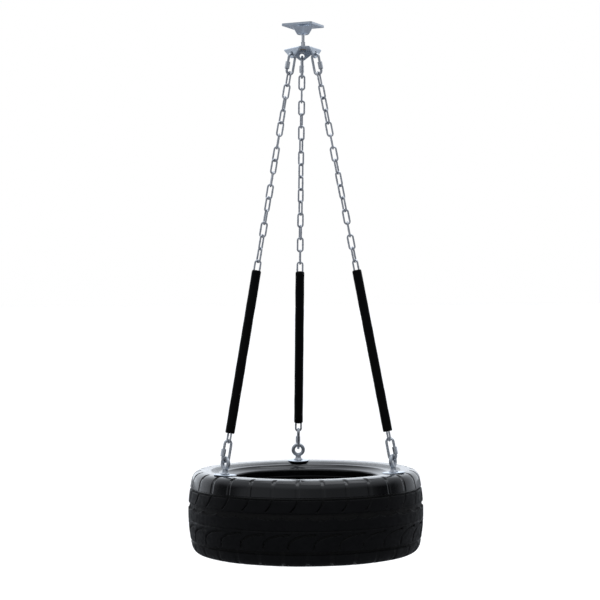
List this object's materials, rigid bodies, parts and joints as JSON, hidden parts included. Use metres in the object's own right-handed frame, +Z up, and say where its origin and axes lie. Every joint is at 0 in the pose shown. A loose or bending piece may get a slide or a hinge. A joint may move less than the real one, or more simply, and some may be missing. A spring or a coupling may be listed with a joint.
{
  "type": "tire swing",
  "caption": "Tyre hung flat on chains with grip sleeves from a ball-and-socket swivel plate that bolts under a beam.",
  "frame": {"origin": "centre of the mounting plate's top face, the face that bears on the beam", "axes": "+Z up, out of the plate into the beam; +X towards the first leg, square to a side of the plate; the other legs follow every 120 degrees about Z"},
  "size_m": [0.6399, 0.64, 1.4352],
  "materials": {
    "galvanised": "zinc-coated pressed steel, satin with a faint blue cast",
    "zinc_plate": "bright zinc plate, slightly dulled",
    "chain_zinc": "bright zinc plate",
    "forged_zinc": "forged steel under zinc, dull grey",
    "hard_steel": "turned steel",
    "bronze": "oil-filled bearing bronze",
    "nylon": "natural nylon",
    "grip_vinyl": "soft black vinyl, satin",
    "tyre_rubber": "black tread rubber, cleaned and lightly dressed"
  },
  "bodies": {
    "mount": {"mounting_plate": "galvanised", "swivel_housing": "galvanised", "plate_rivets": "galvanised", "socket_ring": "bronze", "keeper_pad": "nylon"},
    "swing_liner": {"ball_liner": "nylon"},
    "swing_stud": {"ball_stud": "hard_steel", "thrust_washer": "galvanised", "swivel_lock_nut": "zinc_plate"},
    "spreader": {"spreader_bracket": "galvanised", "spreader_bush": "bronze"},
    "tyre_seat": {"tyre": "tyre_rubber", "bead_wire_upper": "hard_steel", "bead_wire_lower": "hard_steel", "eye_bolt_1": "forged_zinc", "eye_bolt_2": "forged_zinc", "eye_bolt_3": "forged_zinc", "eye_washer_1": "galvanised", "eye_washer_2": "galvanised", "eye_washer_3": "galvanised", "backing_washer_1": "galvanised", "backing_washer_2": "galvanised", "backing_washer_3": "galvanised", "eye_lock_nut_1": "zinc_plate", "eye_lock_nut_2": "zinc_plate", "eye_lock_nut_3": "zinc_plate"},
    "leg_1": {"upper_quick_link_1": "zinc_plate", "chain_1": "chain_zinc", "grip_sleeve_1": "grip_vinyl", "lower_quick_link_1": "zinc_plate"},
    "leg_2": {"upper_quick_link_2": "zinc_plate", "chain_2": "chain_zinc", "grip_sleeve_2": "grip_vinyl", "lower_quick_link_2": "zinc_plate"},
    "leg_3": {"upper_quick_link_3": "zinc_plate", "chain_3": "chain_zinc", "grip_sleeve_3": "grip_vinyl", "lower_quick_link_3": "zinc_plate"},
    "upper_nut_1": {"upper_link_nut_1": "zinc_plate"},
    "upper_nut_2": {"upper_link_nut_2": "zinc_plate"},
    "upper_nut_3": {"upper_link_nut_3": "zinc_plate"},
    "lower_nut_1": {"lower_link_nut_1": "zinc_plate"},
    "lower_nut_2": {"lower_link_nut_2": "zinc_plate"},
    "lower_nut_3": {"lower_link_nut_3": "zinc_plate"}
  },
  "joints": [
    {"name": "swing_front_back", "type": "hinge", "parent": "mount", "child": "swing_liner", "pos_m": [0, 0, -0.018], "axis": [1, 0, 0], "range_deg": [-25, 25]},
    {"name": "swing_left_right", "type": "hinge", "parent": "swing_liner", "child": "swing_stud", "pos_m": [0, 0, -0.018], "axis": [0, 1, 0], "range_deg": [-25, 25]},
    {"name": "swivel_spin", "type": "hinge", "parent": "swing_stud", "child": "spreader", "pos_m": [0, 0, -0.065], "axis": [0, 0, 1], "continuous": true},
    {"name": "tyre_twist", "type": "hinge", "parent": "spreader", "child": "tyre_seat", "pos_m": [0, 0, -1.21], "axis": [0, 0, 1], "range_deg": [-22, 22], "stiffness_Nm_per_rad": 1.1},
    {"name": "leg_1_turn", "type": "hinge", "parent": "spreader", "child": "leg_1", "pos_m": [0.036, 0, -0.0874], "axis": [0.0333, 0, 0.9994], "range_deg": [-22, 22]},
    {"name": "leg_2_turn", "type": "hinge", "parent": "spreader", "child": "leg_2", "pos_m": [-0.018, 0.03118, -0.0874], "axis": [-0.0166, 0.0288, 0.9994], "range_deg": [-22, 22]},
    {"name": "leg_3_turn", "type": "hinge", "parent": "spreader", "child": "leg_3", "pos_m": [-0.018, -0.03118, -0.0874], "axis": [-0.0166, -0.0288, 0.9994], "range_deg": [-22, 22]},
    {"name": "upper_nut_1_slide", "type": "slide", "parent": "leg_1", "child": "upper_nut_1", "axis": [-0.2, 0, 0.9798], "range_m": [0, 0.0125]},
    {"name": "upper_nut_2_slide", "type": "slide", "parent": "leg_2", "child": "upper_nut_2", "axis": [0.1, -0.1732, 0.9798], "range_m": [0, 0.0125]},
    {"name": "upper_nut_3_slide", "type": "slide", "parent": "leg_3", "child": "upper_nut_3", "axis": [0.1, 0.1732, 0.9798], "range_m": [0, 0.0125]},
    {"name": "lower_nut_1_slide", "type": "slide", "parent": "leg_1", "child": "lower_nut_1", "axis": [-0.2, 0, 0.9798], "range_m": [0, 0.0125]},
    {"name": "lower_nut_2_slide", "type": "slide", "parent": "leg_2", "child": "lower_nut_2", "axis": [0.1, -0.1732, 0.9798], "range_m": [0, 0.0125]},
    {"name": "lower_nut_3_slide", "type": "slide", "parent": "leg_3", "child": "lower_nut_3", "axis": [0.1, 0.1732, 0.9798], "range_m": [0, 0.0125]}
  ],
  "couplings": [
    {"joint": "leg_1_turn", "follows": "tyre_twist", "ratio": 1},
    {"joint": "leg_2_turn", "follows": "tyre_twist", "ratio": 1},
    {"joint": "leg_3_turn", "follows": "tyre_twist", "ratio": 1}
  ]
}
